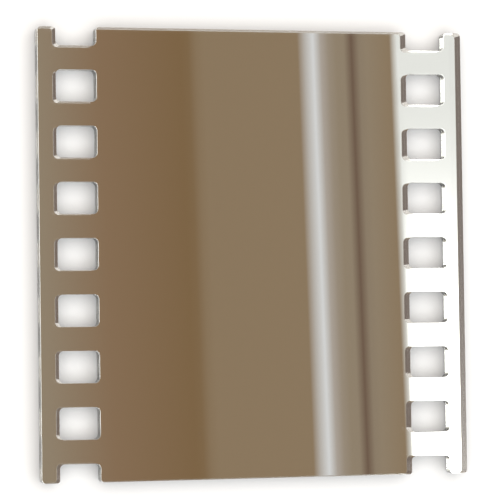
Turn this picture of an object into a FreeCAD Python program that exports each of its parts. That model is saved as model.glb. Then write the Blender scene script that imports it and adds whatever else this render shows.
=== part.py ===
import FreeCAD, Part
import os
import Sketcher

# Wall mirror laser-cut from mirrored acrylic, in the outline of one frame of perforated film.
#
# Frame: +Z up, the mirror looks towards -Y and the wall is the plane Y = 0. The origin is on the
# wall, behind the middle of the plate. Lengths are in millimetres.
# Layers from the wall forwards: four foam pads (adhesive, foam, adhesive), the paint coat, the
# mirror film and the clear acrylic sheet.

# Driving dimensions: each cell holds a number or a formula of the cells above it.
SIZES = [
    ("plate_width", "100"),
    ("plate_height", "102.4"),
    ("plate_corner", "0.9"),
    ("sheet_thick", "3"),
    ("film_thick", "0.05"),
    ("coat_thick", "0.1"),
    ("lip_radius", "0.05"),
    ("perf_count", "9"),
    ("perf_pitch", "12.65"),
    ("perf_width", "9.3"),
    ("perf_height", "7.2"),
    ("perf_corner", "1.1"),
    ("perf_margin", "4.1"),
    ("notch_lip", "0.7"),
    ("pad_side", "20"),
    ("pad_corner", "1.5"),
    ("pad_across", "22"),
    ("pad_up", "34"),
    ("foam_thick", "1"),
    ("glue_thick", "0.1"),
    # the column of perforations: its outer side, and the low side of the lowest one
    ("column_outer", "=plate_width / 2 - perf_margin"),
    ("column_low", "=perf_pitch * (perf_count - 1) / 2 + perf_height / 2"),
    # from the wall to the back of each layer
    ("wall_glue_back", "=0"),
    ("foam_back", "=glue_thick"),
    ("mirror_glue_back", "=foam_back + foam_thick"),
    ("coat_back", "=mirror_glue_back + glue_thick"),
    ("film_back", "=coat_back + coat_thick"),
    ("sheet_back", "=film_back + film_thick"),
]

PAD_PLACES = {
    "top_left": (-1, 1),
    "top_right": (1, 1),
    "bottom_left": (-1, -1),
    "bottom_right": (1, -1),
}

# Each pad's layers from the wall forwards: name, cell of its thickness, cell of its back.
PAD_LAYERS = [
    ("wall_adhesive", "glue_thick", "wall_glue_back"),
    ("foam", "foam_thick", "foam_back"),
    ("mirror_adhesive", "glue_thick", "mirror_glue_back"),
]

TOUCH = 1e-6

doc = FreeCAD.newDocument("film_frame_mirror")


def make_sizes():
    """Put the driving dimensions in one spreadsheet, one alias a row."""
    sheet = doc.addObject("Spreadsheet::Sheet", "sizes")
    for row, (alias, content) in enumerate(SIZES, start=1):
        sheet.set("A%d" % row, alias)
        sheet.set("B%d" % row, content)
        sheet.setAlias("B%d" % row, alias)
    doc.recompute()
    return sheet


sizes = make_sizes()


def start_sketch(body, name):
    """Start a sketch on the body's upright plane: sketch x is +X, sketch y is +Z."""
    sketch = body.newObject("Sketcher::SketchObject", body.Label + "_" + name)
    plane = [feature for feature in body.Origin.OriginFeatures if feature.Role == "XZ_Plane"][0]
    sketch.AttachmentSupport = [(plane, "")]
    sketch.MapMode = "FlatFace"
    return sketch


def bind_length(sketch, name, constraint, expression):
    """Add a length constraint to the sketch and drive it from the spreadsheet."""
    sketch.renameConstraint(sketch.addConstraint(constraint), name)
    sketch.setExpression("Constraints." + name, expression)


def add_rectangle(sketch, left, right, low, high):
    """Add four lines, counter-clockwise from the low one, and return the first one's index."""
    corners = [(left, low), (right, low), (right, high), (left, high)]
    points = [FreeCAD.Vector(x, z, 0) for x, z in corners]
    first = sketch.GeometryCount
    for start, end in zip(points, points[1:] + points[:1]):
        sketch.addGeometry(Part.LineSegment(start, end))
    for side in range(4):
        following = first + (side + 1) % 4
        sketch.addConstraint(Sketcher.Constraint("Coincident", first + side, 2, following, 1))
        direction = "Vertical" if side % 2 else "Horizontal"
        sketch.addConstraint(Sketcher.Constraint(direction, first + side))
    return first


def pad_outline(body, wide, tall, wide_cell, tall_cell, thick_cell):
    """Pad a rectangle centred on the body's origin forwards, towards -Y."""
    sketch = start_sketch(body, "outline")
    add_rectangle(sketch, -wide / 2, wide / 2, -tall / 2, tall / 2)
    sketch.addConstraint(Sketcher.Constraint("Symmetric", 0, 1, 2, 1, -1, 1))
    bind_length(sketch, "wide", Sketcher.Constraint("DistanceX", 0, 1, 0, 2, wide), "sizes." + wide_cell)
    bind_length(sketch, "tall", Sketcher.Constraint("DistanceY", 1, 1, 1, 2, tall), "sizes." + tall_cell)
    pad = body.newObject("PartDesign::Pad", body.Label + "_blank")
    pad.Profile = sketch
    pad.setExpression("Length", "sizes." + thick_cell)
    doc.recompute()
    return pad


def cut_perforations(body):
    """Cut one perforation on each side, level with the bottom edge, and repeat the pair upwards.

    The lowest and highest pairs run out over the plate's edge, which makes the open notches.
    """
    sketch = start_sketch(body, "perforation_pair")
    outer = sizes.column_outer
    inner = outer - sizes.perf_width
    low = -sizes.column_low
    high = low + sizes.perf_height
    add_rectangle(sketch, inner, outer, low, high)
    add_rectangle(sketch, -outer, -inner, low, high)
    sketch.addConstraint(Sketcher.Constraint("Symmetric", 0, 1, 4, 2, -2))
    sketch.addConstraint(Sketcher.Constraint("Symmetric", 2, 1, 6, 2, -2))
    width = Sketcher.Constraint("DistanceX", 0, 1, 0, 2, sizes.perf_width)
    height = Sketcher.Constraint("DistanceY", 1, 1, 1, 2, sizes.perf_height)
    reach = Sketcher.Constraint("DistanceX", -1, 1, 0, 2, outer)
    drop = Sketcher.Constraint("DistanceY", 0, 2, -1, 1, -low)
    bind_length(sketch, "width", width, "sizes.perf_width")
    bind_length(sketch, "height", height, "sizes.perf_height")
    bind_length(sketch, "reach", reach, "sizes.column_outer")
    bind_length(sketch, "drop", drop, "sizes.column_low")

    pocket = body.newObject("PartDesign::Pocket", body.Label + "_perforations")
    pocket.Profile = sketch
    pocket.Type = "ThroughAll"
    pocket.Reversed = True
    doc.recompute()

    rows = body.newObject("PartDesign::LinearPattern", body.Label + "_rows")
    rows.Originals = [pocket]
    rows.Direction = (sketch, ["V_Axis"])
    rows.setExpression("Length", "sizes.perf_pitch * (sizes.perf_count - 1)")
    rows.setExpression("Occurrences", "sizes.perf_count")
    body.Tip = rows
    doc.recompute()
    return rows


def round_edges(body, base, name, radius_cell, wanted):
    """Round the edges of the base feature for which wanted(start, end) is true."""
    names = []
    for index, edge in enumerate(base.Shape.Edges, start=1):
        start, end = edge.firstVertex().Point, edge.lastVertex().Point
        if wanted(start, end):
            names.append("Edge%d" % index)
    fillet = body.newObject("PartDesign::Fillet", body.Label + "_" + name)
    fillet.Base = (base, names)
    fillet.setExpression("Radius", "sizes." + radius_cell)
    doc.recompute()
    return fillet


def is_upright(start, end):
    """True for an edge that runs straight from front to back."""
    return abs(start.x - end.x) < TOUCH and abs(start.z - end.z) < TOUCH


def at_side(point):
    return abs(abs(point.x) - sizes.plate_width / 2) < TOUCH


def at_end(point):
    return abs(abs(point.z) - sizes.plate_height / 2) < TOUCH


def is_plate_corner(start, end):
    return is_upright(start, end) and at_side(start) and at_end(start)


def is_notch_lip(start, end):
    return is_upright(start, end) and at_end(start) and not at_side(start)


def is_perforation_corner(start, end):
    return is_upright(start, end) and not at_end(start)


def place_body(body, back_cell, across="0", up="0"):
    """Set the body's back face at the cell's distance in front of the wall."""
    body.setExpression("Placement.Base.x", across)
    body.setExpression("Placement.Base.y", "-sizes." + back_cell)
    body.setExpression("Placement.Base.z", up)
    doc.recompute()


def make_plate_layer(label, thick_cell, back_cell):
    """Make one full-size layer of the plate, with its perforations and rounded corners."""
    body = doc.addObject("PartDesign::Body", label)
    body.Label = label
    blank = pad_outline(
        body, sizes.plate_width, sizes.plate_height, "plate_width", "plate_height", thick_cell
    )
    before = blank.Shape.Volume
    rows = cut_perforations(body)
    if not rows.Shape.Volume < before:
        raise RuntimeError(label + ": the perforations cut nothing")
    layer = round_edges(body, rows, "perforation_corners", "perf_corner", is_perforation_corner)
    layer = round_edges(body, layer, "plate_corners", "plate_corner", is_plate_corner)
    round_edges(body, layer, "notch_lips", "notch_lip", is_notch_lip)
    place_body(body, back_cell)
    return body


def make_acrylic_sheet():
    """The clear sheet: every front edge keeps the tiny soft radius that the cut melts on it."""
    body = make_plate_layer("acrylic_sheet", "sheet_thick", "sheet_back")
    front = -sizes.sheet_thick

    def is_front_edge(start, end):
        return abs(start.y - front) < TOUCH and abs(end.y - front) < TOUCH

    round_edges(body, body.Tip, "front_lip", "lip_radius", is_front_edge)
    return body


def make_pad_layer(label, across, up, thick_cell, back_cell):
    """Make one layer of a square mounting pad with rounded corners."""
    body = doc.addObject("PartDesign::Body", label)
    body.Label = label
    blank = pad_outline(body, sizes.pad_side, sizes.pad_side, "pad_side", "pad_side", thick_cell)
    round_edges(body, blank, "corners", "pad_corner", is_upright)
    place_body(body, back_cell, "%d * sizes.pad_across" % across, "%d * sizes.pad_up" % up)
    return body


def make_pads():
    """Four double-sided foam pads behind the solid middle of the plate, one near each corner."""
    bodies = []
    for place, (across, up) in PAD_PLACES.items():
        for layer, thick_cell, back_cell in PAD_LAYERS:
            bodies.append(
                make_pad_layer("pad_%s_%s" % (place, layer), across, up, thick_cell, back_cell)
            )
    return bodies


def check_document(bodies):
    """Stop if any object failed, or any sub-part is not one valid solid."""
    for item in doc.Objects:
        if "Invalid" in item.State or "Error" in item.State:
            raise RuntimeError("%s failed: %s" % (item.Label, item.State))
    for body in bodies:
        shape = body.Shape
        if shape.isNull() or not shape.isValid() or len(shape.Solids) != 1:
            raise RuntimeError(body.Label + " is not one valid solid")


def write_steps(bodies):
    os.makedirs("parts", exist_ok=True)
    for body in bodies:
        body.Shape.exportStep("parts/%s.step" % body.Label)
        box = body.Shape.BoundBox
        print(
            "%-34s volume %9.2f  x %7.2f %7.2f  y %6.2f %6.2f  z %7.2f %7.2f"
            % (body.Label, body.Shape.Volume, box.XMin, box.XMax, box.YMin, box.YMax, box.ZMin, box.ZMax)
        )


sub_parts = [
    make_acrylic_sheet(),
    make_plate_layer("mirror_film", "film_thick", "film_back"),
    make_plate_layer("backing_coat", "coat_thick", "coat_back"),
]
sub_parts += make_pads()
doc.recompute()
check_document(sub_parts)
write_steps(sub_parts)
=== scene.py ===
import math
import random

import bmesh
import bpy
from mathutils import Matrix, Vector


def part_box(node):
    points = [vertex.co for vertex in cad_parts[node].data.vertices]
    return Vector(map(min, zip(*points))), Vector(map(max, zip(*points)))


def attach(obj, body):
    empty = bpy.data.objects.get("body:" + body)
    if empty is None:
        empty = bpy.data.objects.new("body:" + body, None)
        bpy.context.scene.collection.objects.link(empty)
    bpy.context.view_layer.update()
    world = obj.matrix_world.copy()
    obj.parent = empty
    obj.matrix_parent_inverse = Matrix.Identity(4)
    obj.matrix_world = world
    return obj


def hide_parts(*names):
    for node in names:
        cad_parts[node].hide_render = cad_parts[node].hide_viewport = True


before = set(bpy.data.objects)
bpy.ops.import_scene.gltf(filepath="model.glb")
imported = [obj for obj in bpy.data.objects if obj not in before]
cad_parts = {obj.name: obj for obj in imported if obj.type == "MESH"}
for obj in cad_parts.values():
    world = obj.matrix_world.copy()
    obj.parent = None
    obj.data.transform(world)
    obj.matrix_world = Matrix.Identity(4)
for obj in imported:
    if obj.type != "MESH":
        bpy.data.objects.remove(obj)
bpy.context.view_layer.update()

BODY = "root"
MM = 0.001

# ---------------------------------------------------------------- sizes, from the frame

sheet_low, sheet_high = (Vector(corner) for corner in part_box("acrylic_sheet"))
HALF_WIDTH = (sheet_high.x - sheet_low.x) / 2
HALF_HEIGHT = (sheet_high.z - sheet_low.z) / 2
FRONT_Y = sheet_low.y
BACK_Y = sheet_high.y

# The outline, as the part is drawn.
PERF_PITCH = 12.65 * MM
PERF_COLUMN = 7
PERF_WIDTH = 9.3 * MM
PERF_HEIGHT = 7.2 * MM
PERF_CORNER = 1.1 * MM
PERF_MARGIN = 4.1 * MM
PLATE_CORNER = 0.9 * MM
NOTCH_LIP = 0.7 * MM

COLUMN_OUTER = HALF_WIDTH - PERF_MARGIN
COLUMN_INNER = COLUMN_OUTER - PERF_WIDTH
NOTCH_FLOOR = (PERF_COLUMN + 1) / 2 * PERF_PITCH - PERF_HEIGHT / 2

# Detail that only the visual model has.
ACRYLIC_IOR = 1.49
CUT_ROUGHNESS = 0.07
FROST_ROUGHNESS = 0.22
FROST_FROM, FROST_FULL = 0.58, 0.66
STRIATION_SCALE = 12000
LIP_RADIUS = 0.05 * MM
LIP_STEPS = 4
LIP_SUPPORT = 0.02 * MM
CORNER_STEPS = 8
CUT_STEP = 0.3 * MM
RIPPLE = 0.002 * MM
FILM_INSET = 0.004 * MM
FILM_SINK = 0.01 * MM
FILM_THICK = 0.04 * MM
RIPPLE_SEED = 7
FACE_SLOT, CUT_SLOT = 0, 1

# Grain of the procedural looks: how many features to the metre, and how deep they seem. A stretch
# below 1 draws the grain out along that axis.
BLOTCH_SCALE = 90
PEEL_SCALE, PEEL_DEPTH = 2500, 0.02 * MM
FOAM_SCALE, FOAM_DEPTH = 5000, 0.08 * MM
SMEAR_SCALE, SMEAR_DEPTH = 260, 0.05 * MM
ALONG_THE_CUT = (1, 0.1, 1)
UP_THE_PAD = (1, 1, 0.25)

# ---------------------------------------------------------------- node helpers


def new_material(name):
    material = bpy.data.materials.new(name)
    material.use_nodes = True
    tree = material.node_tree
    tree.nodes.clear()
    output = tree.nodes.new("ShaderNodeOutputMaterial")
    return material, tree, output


def add_node(tree, kind, **settings):
    node = tree.nodes.new(kind)
    for name, value in settings.items():
        setattr(node, name, value)
    return node


def linear(red, green, blue):
    """The linear colour of an sRGB colour given as 0 to 255."""

    def channel(value):
        value = value / 255
        return value / 12.92 if value <= 0.04045 else ((value + 0.055) / 1.055) ** 2.4

    return (channel(red), channel(green), channel(blue), 1.0)


def principled(tree, output, **values):
    shader = add_node(tree, "ShaderNodeBsdfPrincipled")
    for name, value in values.items():
        shader.inputs[name.replace("_", " ")].default_value = value
    tree.links.new(shader.outputs["BSDF"], output.inputs["Surface"])
    return shader


def calculate(tree, operation, first, second):
    """A maths node of two inputs, each a number or a socket."""
    node = add_node(tree, "ShaderNodeMath", operation=operation)
    for slot, value in enumerate((first, second)):
        if isinstance(value, (int, float)):
            node.inputs[slot].default_value = value
        else:
            tree.links.new(value, node.inputs[slot])
    return node.outputs["Value"]


def map_range(tree, value, from_low, from_high, to_low=0.0, to_high=1.0):
    """The value moved from one range to the other, and held inside it."""
    node = add_node(tree, "ShaderNodeMapRange")
    node.inputs["From Min"].default_value = from_low
    node.inputs["From Max"].default_value = from_high
    node.inputs["To Min"].default_value = to_low
    node.inputs["To Max"].default_value = to_high
    tree.links.new(value, node.inputs["Value"])
    return node.outputs["Result"]


def add_bump(tree, shader, height, strength, distance):
    bump = add_node(tree, "ShaderNodeBump")
    bump.inputs["Strength"].default_value = strength
    bump.inputs["Distance"].default_value = distance
    tree.links.new(height, bump.inputs["Height"])
    tree.links.new(bump.outputs["Normal"], shader.inputs["Normal"])


def noise_on_object(tree, scale, detail, stretch=(1, 1, 1)):
    """Noise in the object's own coordinates, in metres."""
    coords = add_node(tree, "ShaderNodeTexCoord")
    mapping = add_node(tree, "ShaderNodeMapping")
    mapping.inputs["Scale"].default_value = stretch
    noise = add_node(tree, "ShaderNodeTexNoise")
    noise.inputs["Scale"].default_value = scale
    noise.inputs["Detail"].default_value = detail
    tree.links.new(coords.outputs["Object"], mapping.inputs["Vector"])
    tree.links.new(mapping.outputs["Vector"], noise.inputs["Vector"])
    return noise


def add_ramp(tree, factor, stops):
    """A colour ramp with the given (position, colour) stops."""
    ramp = add_node(tree, "ShaderNodeValToRGB")
    elements = ramp.color_ramp.elements
    while len(elements) > 1:
        elements.remove(elements[-1])
    elements[0].position, elements[0].color = stops[0]
    for position, colour in stops[1:]:
        elements.new(position).color = colour
    tree.links.new(factor, ramp.inputs["Fac"])
    return ramp


# ---------------------------------------------------------------- materials


def make_acrylic_face():
    material, tree, output = new_material("acrylic_face")
    principled(
        tree,
        output,
        Base_Color=(0.985, 0.995, 0.99, 1.0),
        Transmission_Weight=1.0,
        IOR=ACRYLIC_IOR,
        Roughness=0.0,
    )
    return material


def make_acrylic_cut():
    """The laser-cut walls: polished, with fine frosted striations that run from front to back."""
    material, tree, output = new_material("acrylic_cut")
    shader = principled(
        tree,
        output,
        Base_Color=(0.95, 0.97, 0.93, 1.0),
        Transmission_Weight=1.0,
        IOR=ACRYLIC_IOR,
    )
    striation = noise_on_object(tree, STRIATION_SCALE, detail=1.0, stretch=ALONG_THE_CUT)
    grain = striation.outputs["Fac"]
    frost = map_range(tree, grain, FROST_FROM, FROST_FULL, CUT_ROUGHNESS, FROST_ROUGHNESS)
    tree.links.new(frost, shader.inputs["Roughness"])
    return material


def make_mirror_metal():
    material, tree, output = new_material("mirror_metal")
    principled(tree, output, Base_Color=(0.9, 0.9, 0.895, 1.0), Metallic=1.0, Roughness=0.0)
    return material


def make_backing_paint():
    material, tree, output = new_material("backing_paint")
    shader = principled(tree, output, Roughness=0.6)
    blotch = noise_on_object(tree, BLOTCH_SCALE, detail=4.0)
    ramp = add_ramp(
        tree,
        blotch.outputs["Fac"],
        [(0.3, linear(98, 101, 106)), (0.7, linear(112, 115, 119))],
    )
    tree.links.new(ramp.outputs["Color"], shader.inputs["Base Color"])
    peel = noise_on_object(tree, PEEL_SCALE, detail=2.0)
    add_bump(tree, shader, peel.outputs["Fac"], strength=0.25, distance=PEEL_DEPTH)
    return material


def make_pad_foam():
    material, tree, output = new_material("pad_foam")
    shader = principled(tree, output, Roughness=0.85)
    cells = add_node(tree, "ShaderNodeTexVoronoi")
    coords = add_node(tree, "ShaderNodeTexCoord")
    cells.inputs["Scale"].default_value = FOAM_SCALE
    tree.links.new(coords.outputs["Object"], cells.inputs["Vector"])
    # The cells are the foam's own texture. Their darker middles sit in the dimples that the bump
    # below dents in, and that darkening is painted shade in the pores.
    ramp = add_ramp(
        tree,
        cells.outputs["Distance"],
        [(0.0, linear(196, 195, 188)), (0.5, linear(238, 237, 231))],
    )
    tree.links.new(ramp.outputs["Color"], shader.inputs["Base Color"])
    add_bump(tree, shader, cells.outputs["Distance"], strength=0.5, distance=FOAM_DEPTH)
    return material


def make_pad_adhesive():
    material, tree, output = new_material("pad_adhesive")
    shader = principled(tree, output, Roughness=0.25, Coat_Weight=0.3)
    smear = noise_on_object(tree, SMEAR_SCALE, detail=3.0, stretch=UP_THE_PAD)
    ramp = add_ramp(
        tree,
        smear.outputs["Fac"],
        [(0.35, linear(222, 217, 196)), (0.65, linear(234, 231, 215))],
    )
    tree.links.new(ramp.outputs["Color"], shader.inputs["Base Color"])
    add_bump(tree, shader, smear.outputs["Fac"], strength=0.3, distance=SMEAR_DEPTH)
    return material


# ---------------------------------------------------------------- the outline


def plate_corners():
    """The plate's outer corners, material on the left of the path, as (x, z, radius)."""
    low_edge = [
        (-HALF_WIDTH, -HALF_HEIGHT, PLATE_CORNER),
        (-COLUMN_OUTER, -HALF_HEIGHT, NOTCH_LIP),
        (-COLUMN_OUTER, -NOTCH_FLOOR, PERF_CORNER),
        (-COLUMN_INNER, -NOTCH_FLOOR, PERF_CORNER),
        (-COLUMN_INNER, -HALF_HEIGHT, NOTCH_LIP),
    ]
    right_half = [(-x, z, radius) for x, z, radius in reversed(low_edge)]
    bottom = low_edge + right_half
    top = [(-x, -z, radius) for x, z, radius in bottom]
    return bottom + top


def perforation_corners(side, row):
    """One perforation's corners, material on the left of the path. row counts from the middle."""
    middle_x = side * (COLUMN_OUTER + COLUMN_INNER) / 2
    middle_z = row * PERF_PITCH
    across, up = PERF_WIDTH / 2, PERF_HEIGHT / 2
    turns = [(-across, -up), (-across, up), (across, up), (across, -up)]
    return [(middle_x + x, middle_z + z, PERF_CORNER) for x, z in turns]


def all_corners():
    rows = range(-(PERF_COLUMN // 2), PERF_COLUMN // 2 + 1)
    return [plate_corners()] + [perforation_corners(side, row) for side in (-1, 1) for row in rows]


def loop_points(corners, inset, straight_step):
    """Points round a loop moved into the material by inset, each with its direction into it."""
    count = len(corners)
    spots = [Vector((x, z)) for x, z, _ in corners]
    headings = [(spots[(i + 1) % count] - spots[i]).normalized() for i in range(count)]
    rounds = []
    for i in range(count):
        before, after = headings[i - 1], headings[i]
        left_before, left_after = before.orthogonal(), after.orthogonal()
        turn = before.cross(after)
        radius = corners[i][2] - inset * turn
        corner = spots[i] + inset * (left_before + left_after)
        centre = corner - radius * before + turn * radius * left_before
        rounds.append((centre, radius, turn, left_before))
    points = []
    for i in range(count):
        centre, radius, turn, left = rounds[i]
        for step in range(CORNER_STEPS + 1):
            angle = turn * step / CORNER_STEPS * math.pi / 2
            inward = Vector((
                left.x * math.cos(angle) - left.y * math.sin(angle),
                left.x * math.sin(angle) + left.y * math.cos(angle),
            ))
            points.append((centre - turn * radius * inward, inward))
        end = points[-1][0]
        next_centre, next_radius, next_turn, next_left = rounds[(i + 1) % count]
        start = next_centre - next_turn * next_radius * next_left
        nominal = (spots[(i + 1) % count] - spots[i]).length
        pieces = max(1, round(nominal / straight_step))
        for piece in range(1, pieces):
            points.append((end.lerp(start, piece / pieces), headings[i].orthogonal()))
    return points


def smooth_noise(generator, count, reach):
    """Random values from 0 to 1, one a point, each averaged with its neighbours round the loop."""
    raw = [generator.random() for _ in range(count)]
    return [
        sum(raw[(i + offset) % count] for offset in range(-reach, reach + 1)) / (2 * reach + 1)
        for i in range(count)
    ]


# ---------------------------------------------------------------- meshes


def finish_mesh(name, bm, materials):
    """Make the object, flat shaded: smooth normals would bend the light inside the sheet."""
    bmesh.ops.recalc_face_normals(bm, faces=bm.faces)
    mesh = bpy.data.meshes.new(name)
    for material in materials:
        mesh.materials.append(material)
    bm.to_mesh(mesh)
    bm.free()
    piece = bpy.data.objects.new(name, mesh)
    bpy.context.scene.collection.objects.link(piece)
    return piece


def add_ring(bm, points, inset_y):
    """One ring of vertices: inset_y(i) gives each point's extra inset and its y."""
    ring = []
    for i, (spot, inward) in enumerate(points):
        inset, y = inset_y(i)
        moved = spot + inset * inward
        ring.append(bm.verts.new((moved.x, y, moved.y)))
    return ring


def join_rings(bm, first, second, slot):
    count = len(first)
    for i in range(count):
        j = (i + 1) % count
        face = bm.faces.new((first[i], first[j], second[j], second[i]))
        face.material_index = slot


def fill_flat(bm, rings, slot):
    """Fill the flat area between the outer ring and the perforations' rings."""
    edges = []
    for ring in rings:
        for i, vertex in enumerate(ring):
            edges.append(bm.edges.get((vertex, ring[(i + 1) % len(ring)])))
    filled = bmesh.ops.triangle_fill(bm, use_beauty=True, use_dissolve=False, edges=edges)
    for item in filled["geom"]:
        if isinstance(item, bmesh.types.BMFace):
            item.material_index = slot


def make_sheet(face_material, cut_material):
    """The clear sheet: cut walls that ripple towards the front, and a small melted lip there.

    The rings that bound the flat faces have no ripple, so that their straight stretches fill cleanly.
    """
    bm = bmesh.new()
    generator = random.Random(RIPPLE_SEED)
    support_y = FRONT_Y + LIP_RADIUS + LIP_SUPPORT
    front_rings, back_rings = [], []
    for corners in all_corners():
        base = loop_points(corners, 0.0, CUT_STEP)
        ripple = smooth_noise(generator, len(base), reach=1)
        back = add_ring(bm, base, lambda i: (0.0, BACK_Y))
        rings = [back, add_ring(bm, base, lambda i: (ripple[i] * RIPPLE, support_y))]
        for step in range(LIP_STEPS + 1):
            angle = step / LIP_STEPS * math.pi / 2
            inset = LIP_RADIUS * (1 - math.cos(angle))
            depth = FRONT_Y + LIP_RADIUS * (1 - math.sin(angle))
            fade = 1 - step / LIP_STEPS
            points = loop_points(corners, inset, CUT_STEP)
            rings.append(add_ring(bm, points, lambda i: (fade * ripple[i] * RIPPLE, depth)))
        for first, second in zip(rings, rings[1:]):
            join_rings(bm, first, second, CUT_SLOT)
        back_rings.append(rings[0])
        front_rings.append(rings[-1])
    fill_flat(bm, back_rings, FACE_SLOT)
    fill_flat(bm, front_rings, FACE_SLOT)
    return finish_mesh("acrylic", bm, [face_material, cut_material])


def make_film(material):
    """The metal layer, its front just inside the sheet's back face and its edge burnt back."""
    bm = bmesh.new()
    front_y = BACK_Y - FILM_SINK
    back_y = front_y + FILM_THICK
    front_rings, back_rings = [], []
    for corners in all_corners():
        points = loop_points(corners, FILM_INSET, CUT_STEP * 2)
        front = add_ring(bm, points, lambda i: (0.0, front_y))
        back = add_ring(bm, points, lambda i: (0.0, back_y))
        join_rings(bm, front, back, FACE_SLOT)
        front_rings.append(front)
        back_rings.append(back)
    fill_flat(bm, front_rings, FACE_SLOT)
    fill_flat(bm, back_rings, FACE_SLOT)
    return finish_mesh("mirror_metal_layer", bm, [material])


# ---------------------------------------------------------------- pieces

acrylic = make_sheet(make_acrylic_face(), make_acrylic_cut())
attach(acrylic, BODY)
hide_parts("acrylic_sheet")

film = make_film(make_mirror_metal())
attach(film, BODY)
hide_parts("mirror_film")


def paint_node(name, material):
    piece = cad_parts[name]
    piece.data.materials.clear()
    piece.data.materials.append(material)


foam = make_pad_foam()
adhesive = make_pad_adhesive()
paint_node("backing_coat", make_backing_paint())
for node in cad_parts:
    if node.endswith("_foam"):
        paint_node(node, foam)
    elif node.endswith("_adhesive"):
        paint_node(node, adhesive)

# ---------------------------------------------------------------- camera

FACE_CENTRE = Vector((0.0, FRONT_Y, 0.0))
CAMERA_DISTANCE = 0.616
CAMERA_AZIMUTH = math.radians(-14.84)
CAMERA_ELEVATION = math.radians(-2.04)
CAMERA_ROLL = math.radians(0.79)
CAMERA_LENS = 194.4
SENSOR_WIDTH = 36.0
CLIP_START = 0.01
AIM_LEFT = 2.37 * MM
AIM_UP = 0.8 * MM


def make_camera():
    data = bpy.data.cameras.new("camera")
    data.lens = CAMERA_LENS
    data.sensor_width = SENSOR_WIDTH
    data.clip_start = CLIP_START
    camera = bpy.data.objects.new("camera", data)
    bpy.context.scene.collection.objects.link(camera)
    outwards = Vector((
        math.sin(CAMERA_AZIMUTH) * math.cos(CAMERA_ELEVATION),
        -math.cos(CAMERA_AZIMUTH) * math.cos(CAMERA_ELEVATION),
        math.sin(CAMERA_ELEVATION),
    ))
    camera.location = FACE_CENTRE + CAMERA_DISTANCE * outwards
    rightwards = Vector((math.cos(CAMERA_AZIMUTH), math.sin(CAMERA_AZIMUTH), 0.0))
    aim = FACE_CENTRE - AIM_LEFT * rightwards + Vector((0.0, 0.0, AIM_UP))
    look = (aim - camera.location).to_track_quat("-Z", "Y").to_matrix().to_4x4()
    roll = Matrix.Rotation(-CAMERA_ROLL, 4, "Z")
    camera.matrix_world = Matrix.Translation(camera.location) @ look @ roll
    bpy.context.scene.camera = camera
    return camera


camera = make_camera()

# ---------------------------------------------------------------- stage

WALL_Y = 0.05 * MM
WALL_REACH = 1.5
WALL_TOP = 1.2
WALL_WHITE = (0.86, 0.86, 0.855, 1.0)
FLOOR_Z = -0.13
FLOOR_REACH = 3
FLOOR_WHITE = (0.8, 0.8, 0.79, 1.0)


def add_plane(name, corners, material):
    mesh = bpy.data.meshes.new(name)
    mesh.from_pydata([tuple(corner) for corner in corners], [], [(0, 1, 2, 3)])
    mesh.materials.append(material)
    plane = bpy.data.objects.new(name, mesh)
    bpy.context.scene.collection.objects.link(plane)
    return plane


def let_light_pass(plane):
    """Take the plane out of the light on matt surfaces: it bounces none and casts no shadow."""
    plane.visible_diffuse = False
    plane.visible_shadow = False


def make_wall_paint():
    """White paint that shows on the room side only, so that the mirror's back can be seen."""
    material, tree, output = new_material("wall_paint")
    shader = add_node(tree, "ShaderNodeBsdfDiffuse")
    shader.inputs["Color"].default_value = WALL_WHITE
    clear = add_node(tree, "ShaderNodeBsdfTransparent")
    side = add_node(tree, "ShaderNodeNewGeometry")
    mix = add_node(tree, "ShaderNodeMixShader")
    tree.links.new(side.outputs["Backfacing"], mix.inputs["Fac"])
    tree.links.new(shader.outputs["BSDF"], mix.inputs[1])
    tree.links.new(clear.outputs["BSDF"], mix.inputs[2])
    tree.links.new(mix.outputs["Shader"], output.inputs["Surface"])
    return material


def make_floor_paint():
    material, tree, output = new_material("floor_paint")
    principled(tree, output, Base_Color=FLOOR_WHITE, Roughness=0.7)
    return material


wall = add_plane(
    "wall",
    [
        (-WALL_REACH, WALL_Y, FLOOR_Z),
        (WALL_REACH, WALL_Y, FLOOR_Z),
        (WALL_REACH, WALL_Y, WALL_TOP),
        (-WALL_REACH, WALL_Y, WALL_TOP),
    ],
    make_wall_paint(),
)
let_light_pass(wall)
floor = add_plane(
    "floor",
    [
        (-FLOOR_REACH, -FLOOR_REACH, FLOOR_Z),
        (FLOOR_REACH, -FLOOR_REACH, FLOOR_Z),
        (FLOOR_REACH, FLOOR_REACH, FLOOR_Z),
        (-FLOOR_REACH, FLOOR_REACH, FLOOR_Z),
    ],
    make_floor_paint(),
)
# The floor is only there to be seen: the softboxes reach well below it, and light passes it.
let_light_pass(floor)


# Diffuse Depth counts whole bounces, so this tells none from one.
NO_MATT_BOUNCE = 0.5


def add_fresh_path(tree):
    """1 for light that the eye sees straight or through glass and mirror, 0 once it lit paint.

    The cards and the room are there for the mirror and the acrylic to show. Without this they
    would also light the wall behind the perforations, through the clear cut edges.
    """
    path = add_node(tree, "ShaderNodeLightPath")
    return calculate(tree, "LESS_THAN", path.outputs["Diffuse Depth"], NO_MATT_BOUNCE)


def add_glow(material, tree, output, strength):
    """Emission that no light sampling aims at, so that only paths that happen on it see it."""
    glow = add_node(tree, "ShaderNodeEmission")
    tree.links.new(strength, glow.inputs["Strength"])
    tree.links.new(glow.outputs["Emission"], output.inputs["Surface"])
    material.cycles.emission_sampling = "NONE"
    return glow


# The card that the mirror shows: a dim brown room with two soft upright bands and a bright opening
# at the right. It stands so that its own x and z are the plate's, as the camera sees them
# reflected. The bands lean a little. A line of sight that meets the front face at some x meets the
# mirror behind the clear sheet a little further right, and CARD_SHIFT is that much.
CARD_DISTANCE = 1.6
CARD_LEAN = 0.026
SIGHT_IN_SHEET = math.asin(math.sin(-CAMERA_AZIMUTH) / ACRYLIC_IOR)
CARD_SHIFT = (BACK_Y - FRONT_Y) * math.tan(SIGHT_IN_SHEET)
CARD_BRIGHT = 1.1

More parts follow.
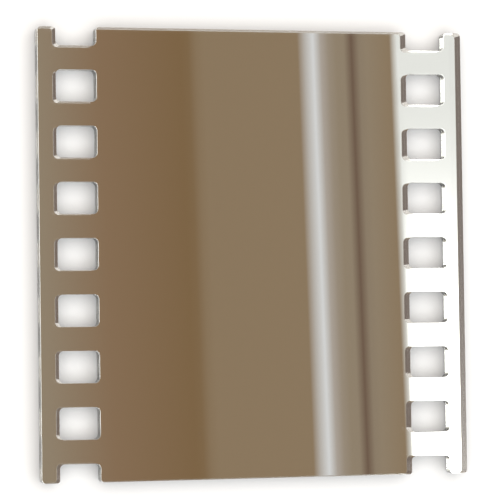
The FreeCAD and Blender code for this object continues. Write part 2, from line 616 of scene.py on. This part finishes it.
CARD_LOW_X, CARD_HIGH_X = -0.40, 0.075
CARD_HALF_Z = 0.15

FAR_CORNER = linear(115, 105, 100)
NEAR_CORNER = linear(120, 105, 95)
PALE_BROWN = linear(145, 130, 110)
WARM_BROWN = linear(135, 110, 85)
DEEP_BROWN = linear(125, 100, 70)
MID_BROWN = linear(140, 120, 95)
LIGHT_BAND = linear(215, 215, 215)
BAND_HALO = linear(170, 160, 150)
DARK_BAND = linear(110, 90, 75)
WINDOW = linear(230, 230, 225)

# Each tone's place across the plate, in millimetres from its middle, at the middle of its height.
ROOM_BANDS = [
    (-400, FAR_CORNER),
    (-120, NEAR_CORNER),
    (-50, PALE_BROWN),
    (-35, WARM_BROWN),
    (-14.5, DEEP_BROWN),
    (-11.5, MID_BROWN),
    (13, MID_BROWN),
    (14.5, LIGHT_BAND),
    (15.5, LIGHT_BAND),
    (17.5, BAND_HALO),
    (20, PALE_BROWN),
    (23, PALE_BROWN),
    (24.5, DARK_BAND),
    (25.5, DARK_BAND),
    (27, PALE_BROWN),
    (34.5, MID_BROWN),
    (36, WINDOW),
    (75, WINDOW),
]

# From its edge on, the opening gets brighter downwards, slowly at first. By the plate's lower edge
# WINDOW_BOOST has been added to the card's own strength, CARD_BRIGHT.
WINDOW_FROM, WINDOW_FULL = 35.5 * MM, 37.5 * MM
WINDOW_BOOST = 8.0
WINDOW_CURVE = 3.0

# Past what the mirror shows the camera the opening is brighter still, for the hazy cut walls.
BEYOND_FROM, BEYOND_FULL = 52.0 * MM, 56.0 * MM
BEYOND_BOOST = 5.0


def make_room_card():
    material, tree, output = new_material("room_card")
    coords = add_node(tree, "ShaderNodeTexCoord")
    split = add_node(tree, "ShaderNodeSeparateXYZ")
    tree.links.new(coords.outputs["Object"], split.inputs["Vector"])
    across, up = split.outputs["X"], split.outputs["Z"]
    level = calculate(tree, "ADD", across, calculate(tree, "MULTIPLY", up, CARD_LEAN))
    level = calculate(tree, "SUBTRACT", level, CARD_SHIFT)

    in_window = map_range(tree, level, WINDOW_FROM, WINDOW_FULL)
    downwards = map_range(tree, up, HALF_HEIGHT, -HALF_HEIGHT)
    rise = calculate(tree, "POWER", downwards, WINDOW_CURVE)
    boost = calculate(tree, "MULTIPLY", in_window, calculate(tree, "MULTIPLY", rise, WINDOW_BOOST))
    beyond = map_range(tree, level, BEYOND_FROM, BEYOND_FULL, 0.0, BEYOND_BOOST)
    bright = calculate(tree, "ADD", calculate(tree, "ADD", boost, beyond), CARD_BRIGHT)
    glow = add_glow(material, tree, output, calculate(tree, "MULTIPLY", bright, add_fresh_path(tree)))

    span = CARD_HIGH_X - CARD_LOW_X
    share = calculate(tree, "DIVIDE", calculate(tree, "SUBTRACT", level, CARD_LOW_X), span)
    stops = [((at * MM - CARD_LOW_X) / span, colour) for at, colour in ROOM_BANDS]
    ramp = add_ramp(tree, share, stops)
    tree.links.new(ramp.outputs["Color"], glow.inputs["Color"])

    card = add_plane(
        "room_card",
        [
            (CARD_LOW_X, 0, -CARD_HALF_Z),
            (CARD_LOW_X, 0, CARD_HALF_Z),
            (CARD_HIGH_X, 0, CARD_HALF_Z),
            (CARD_HIGH_X, 0, -CARD_HALF_Z),
        ],
        material,
    )
    eye = camera.matrix_world.translation
    ratio = CARD_DISTANCE / (BACK_Y - eye.y)
    card.location = (-eye.x * ratio, BACK_Y - CARD_DISTANCE, -eye.z * ratio)
    card.scale = (1 + ratio, 1, 1 + ratio)
    card.visible_camera = False
    let_light_pass(card)


make_room_card()

# As seen from the plate, each softbox fills about 42 degrees either side of straight ahead. That
# is about what the floor of a perforation sees of the room.
SOFTBOX_AWAY = 1.2
SOFTBOX_SPREAD = math.radians(42)
SOFTBOX_SIDE = 2 * SOFTBOX_AWAY * math.tan(SOFTBOX_SPREAD)
FRONT_SOFTBOX, FRONT_RADIANCE = (0.0, -SOFTBOX_AWAY, 0.0), 1.45
BACK_SOFTBOX, BACK_RADIANCE = (0.0, SOFTBOX_AWAY, 0.4), 1.0


def add_softbox(name, location, radiance):
    """A square softbox that lights matt surfaces but doesn't show in the mirror or the acrylic."""
    data = bpy.data.lights.new(name, "AREA")
    data.shape = "RECTANGLE"
    data.size = SOFTBOX_SIDE
    data.size_y = SOFTBOX_SIDE
    data.energy = radiance * math.pi * SOFTBOX_SIDE * SOFTBOX_SIDE
    softbox = bpy.data.objects.new(name, data)
    bpy.context.scene.collection.objects.link(softbox)
    softbox.location = location
    softbox.rotation_euler = (-Vector(location)).to_track_quat("-Z", "Y").to_euler()
    softbox.visible_camera = False
    softbox.visible_glossy = False
    softbox.visible_transmission = False


add_softbox("softbox_front", FRONT_SOFTBOX, FRONT_RADIANCE)
add_softbox("softbox_back", BACK_SOFTBOX, BACK_RADIANCE)

# The fill light is brown from the upper left, where the room is, and white from the lower right.
FILL_STRENGTH = 0.7
FILL_BROWN_SIDE = (-0.6, 0.0, 0.8)
FILL_WHITE = linear(252, 254, 255)
FILL_BROWN = linear(225, 205, 185)
FILL_TINTS = [(0.3, FILL_WHITE), (0.9, FILL_BROWN)]

# What the plate reflects past the cards, from the horizon up.
ROOM_TINTS = [
    (0.0, linear(118, 108, 100)),
    (0.35, linear(150, 142, 134)),
    (0.9, linear(246, 244, 240)),
]


def make_world():
    """White to the camera, a tinted fill, and a dim room for whatever the plate reflects."""
    world = bpy.data.worlds.new("studio")
    world.use_nodes = True
    tree = world.node_tree
    tree.nodes.clear()
    output = add_node(tree, "ShaderNodeOutputWorld")
    path = add_node(tree, "ShaderNodeLightPath")
    backdrop = add_node(tree, "ShaderNodeBackground")
    backdrop.inputs["Color"].default_value = (1.0, 1.0, 1.0, 1.0)
    backdrop.inputs["Strength"].default_value = 1.0
    fill = add_node(tree, "ShaderNodeBackground")
    fill.inputs["Strength"].default_value = FILL_STRENGTH
    room = add_node(tree, "ShaderNodeBackground")
    coords = add_node(tree, "ShaderNodeTexCoord")
    split = add_node(tree, "ShaderNodeSeparateXYZ")
    tree.links.new(coords.outputs["Generated"], split.inputs["Vector"])
    ramp = add_ramp(tree, split.outputs["Z"], ROOM_TINTS)
    tree.links.new(ramp.outputs["Color"], room.inputs["Color"])
    tree.links.new(add_fresh_path(tree), room.inputs["Strength"])
    side = add_node(tree, "ShaderNodeVectorMath", operation="DOT_PRODUCT")
    side.inputs[1].default_value = FILL_BROWN_SIDE
    tree.links.new(coords.outputs["Generated"], side.inputs[0])
    tint = add_ramp(tree, map_range(tree, side.outputs["Value"], -1.0, 1.0), FILL_TINTS)
    tree.links.new(tint.outputs["Color"], fill.inputs["Color"])
    diffuse_mix = add_node(tree, "ShaderNodeMixShader")
    camera_mix = add_node(tree, "ShaderNodeMixShader")
    tree.links.new(path.outputs["Is Diffuse Ray"], diffuse_mix.inputs["Fac"])
    tree.links.new(room.outputs["Background"], diffuse_mix.inputs[1])
    tree.links.new(fill.outputs["Background"], diffuse_mix.inputs[2])
    tree.links.new(path.outputs["Is Camera Ray"], camera_mix.inputs["Fac"])
    tree.links.new(diffuse_mix.outputs["Shader"], camera_mix.inputs[1])
    tree.links.new(backdrop.outputs["Background"], camera_mix.inputs[2])
    tree.links.new(camera_mix.outputs["Shader"], output.inputs["Surface"])
    world.cycles.sampling_method = "NONE"
    bpy.context.scene.world = world


make_world()

# The window card's upright edges, as (x, y), its height and its glow.
WINDOW_NEAR = (0.62, -1.62)
WINDOW_FAR = (1.9, -0.75)
WINDOW_LOW, WINDOW_HIGH = -0.9, 1.2
WINDOW_GLOW = 3.5
WINDOW_LIGHT = (1.0, 1.0, 0.99, 1.0)


def make_window_card():
    """The bright opening to the right, which lights the plate's cut edges from inside."""
    material, tree, output = new_material("window_card")
    strength = calculate(tree, "MULTIPLY", add_fresh_path(tree), WINDOW_GLOW)
    glow = add_glow(material, tree, output, strength)
    glow.inputs["Color"].default_value = WINDOW_LIGHT
    card = add_plane(
        "window_card",
        [
            (*WINDOW_NEAR, WINDOW_LOW),
            (*WINDOW_NEAR, WINDOW_HIGH),
            (*WINDOW_FAR, WINDOW_HIGH),
            (*WINDOW_FAR, WINDOW_LOW),
        ],
        material,
    )
    card.visible_camera = False
    let_light_pass(card)


make_window_card()

INSIDE_BOUNCES = 48
PAINT_BOUNCES = 4

scene = bpy.context.scene
scene.view_settings.view_transform = "Standard"
# Light that enters a cut wall can run the whole width of the sheet between its faces.
scene.cycles.max_bounces = INSIDE_BOUNCES
scene.cycles.transmission_bounces = INSIDE_BOUNCES
scene.cycles.glossy_bounces = INSIDE_BOUNCES
scene.cycles.diffuse_bounces = PAINT_BOUNCES
